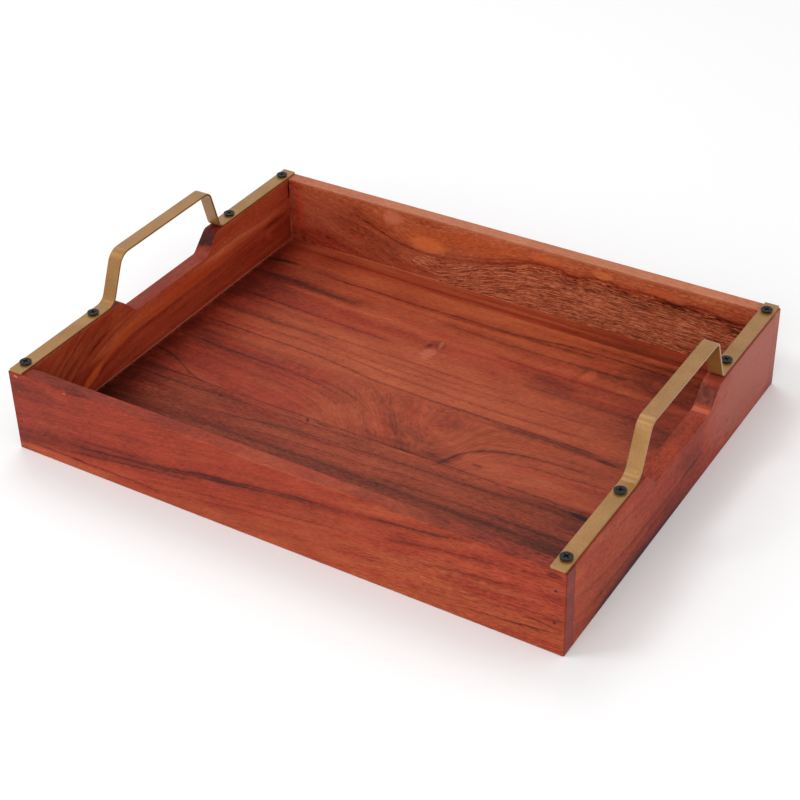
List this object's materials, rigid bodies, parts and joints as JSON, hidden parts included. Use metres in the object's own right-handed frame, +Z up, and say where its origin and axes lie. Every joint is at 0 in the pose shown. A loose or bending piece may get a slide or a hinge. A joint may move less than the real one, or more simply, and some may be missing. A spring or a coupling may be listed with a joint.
{
  "type": "serving tray",
  "caption": "Rectangular wooden serving tray with a boarded floor, butt-jointed walls, hand scoops and a bent flat metal strap handle screwed along each end.",
  "frame": {"origin": "centre of the underside", "axes": "+X along the tray to the right-hand handle, +Y from the front long wall to the back long wall, +Z up"},
  "size_m": [0.406, 0.3174, 0.0963],
  "materials": {
    "wall_wood": "reddish-brown stain under a satin clear coat, dark lengthwise figure",
    "floor_wood": "reddish-brown stain under a satin clear coat, board by board figure",
    "strap_metal": "satin antique-brass",
    "screw_black": "semi-gloss black oxide",
    "brad_steel": "dull, stained over"
  },
  "bodies": {
    "root": {"front_wall": "wall_wood", "back_wall": "wall_wood", "left_wall": "wall_wood", "right_wall": "wall_wood", "floor_board_1": "floor_wood", "floor_board_2": "floor_wood", "floor_board_3": "floor_wood", "floor_board_4": "floor_wood", "left_handle": "strap_metal", "left_handle_screw_1": "screw_black", "left_handle_screw_2": "screw_black", "left_handle_screw_3": "screw_black", "left_handle_screw_4": "screw_black", "right_handle": "strap_metal", "right_handle_screw_1": "screw_black", "right_handle_screw_2": "screw_black", "right_handle_screw_3": "screw_black", "right_handle_screw_4": "screw_black", "front_left_brad_1": "brad_steel", "front_left_brad_2": "brad_steel", "front_right_brad_1": "brad_steel", "front_right_brad_2": "brad_steel", "back_left_brad_1": "brad_steel", "back_left_brad_2": "brad_steel", "back_right_brad_1": "brad_steel", "back_right_brad_2": "brad_steel"}
  },
  "joints": []
}
